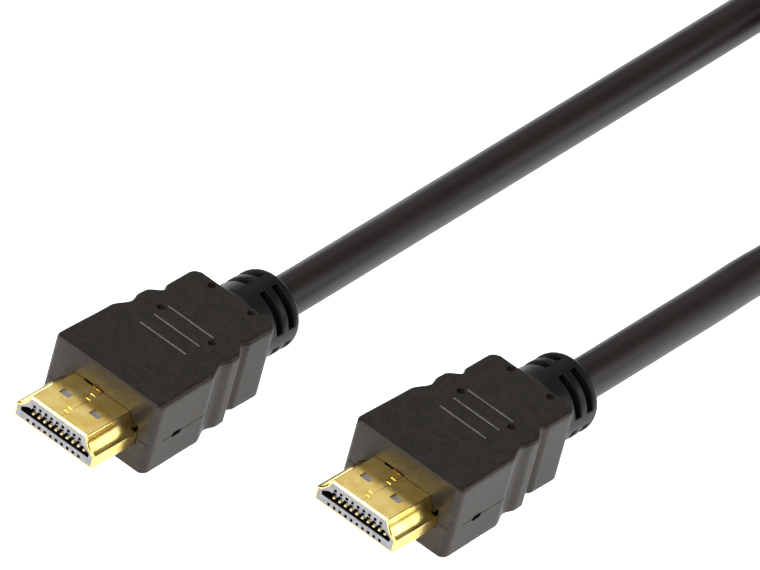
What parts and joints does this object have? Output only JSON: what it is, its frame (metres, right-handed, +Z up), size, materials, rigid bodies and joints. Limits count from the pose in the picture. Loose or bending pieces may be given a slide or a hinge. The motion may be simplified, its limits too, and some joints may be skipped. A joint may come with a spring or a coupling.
{
  "type": "hdmi cable",
  "caption": "Black moulded video and audio cable with a gold-plated flat plug at each end, grip waves, slotted strain reliefs and its slack wound in a coil.",
  "frame": {"origin": "on the floor, at the middle of the box around the two plugs", "axes": "+X across the plugs, +Y from their mouths back along the cable, +Z up"},
  "size_m": [0.0794, 0.2209, 0.012],
  "materials": {
    "overmold": "fine satin grain",
    "shell": "bright gold plate",
    "insulator": "smooth moulded",
    "contact": "bright gold plate",
    "cable": "satin jacket"
  },
  "bodies": {
    "root": {"plug_a_overmold": "overmold", "plug_a_shell": "shell", "plug_a_insulator": "insulator", "plug_a_contact_low_1": "contact", "plug_a_contact_low_2": "contact", "plug_a_contact_low_3": "contact", "plug_a_contact_low_4": "contact", "plug_a_contact_low_5": "contact", "plug_a_contact_low_6": "contact", "plug_a_contact_low_7": "contact", "plug_a_contact_low_8": "contact", "plug_a_contact_low_9": "contact", "plug_a_contact_low_10": "contact", "plug_a_contact_high_1": "contact", "plug_a_contact_high_2": "contact", "plug_a_contact_high_3": "contact", "plug_a_contact_high_4": "contact", "plug_a_contact_high_5": "contact", "plug_a_contact_high_6": "contact", "plug_a_contact_high_7": "contact", "plug_a_contact_high_8": "contact", "plug_a_contact_high_9": "contact", "plug_b_overmold": "overmold", "plug_b_shell": "shell", "plug_b_insulator": "insulator", "plug_b_contact_low_1": "contact", "plug_b_contact_low_2": "contact", "plug_b_contact_low_3": "contact", "plug_b_contact_low_4": "contact", "plug_b_contact_low_5": "contact", "plug_b_contact_low_6": "contact", "plug_b_contact_low_7": "contact", "plug_b_contact_low_8": "contact", "plug_b_contact_low_9": "contact", "plug_b_contact_low_10": "contact", "plug_b_contact_high_1": "contact", "plug_b_contact_high_2": "contact", "plug_b_contact_high_3": "contact", "plug_b_contact_high_4": "contact", "plug_b_contact_high_5": "contact", "plug_b_contact_high_6": "contact", "plug_b_contact_high_7": "contact", "plug_b_contact_high_8": "contact", "plug_b_contact_high_9": "contact", "cable_lead_a": "cable", "cable_coil": "cable", "cable_lead_b": "cable"}
  },
  "joints": []
}
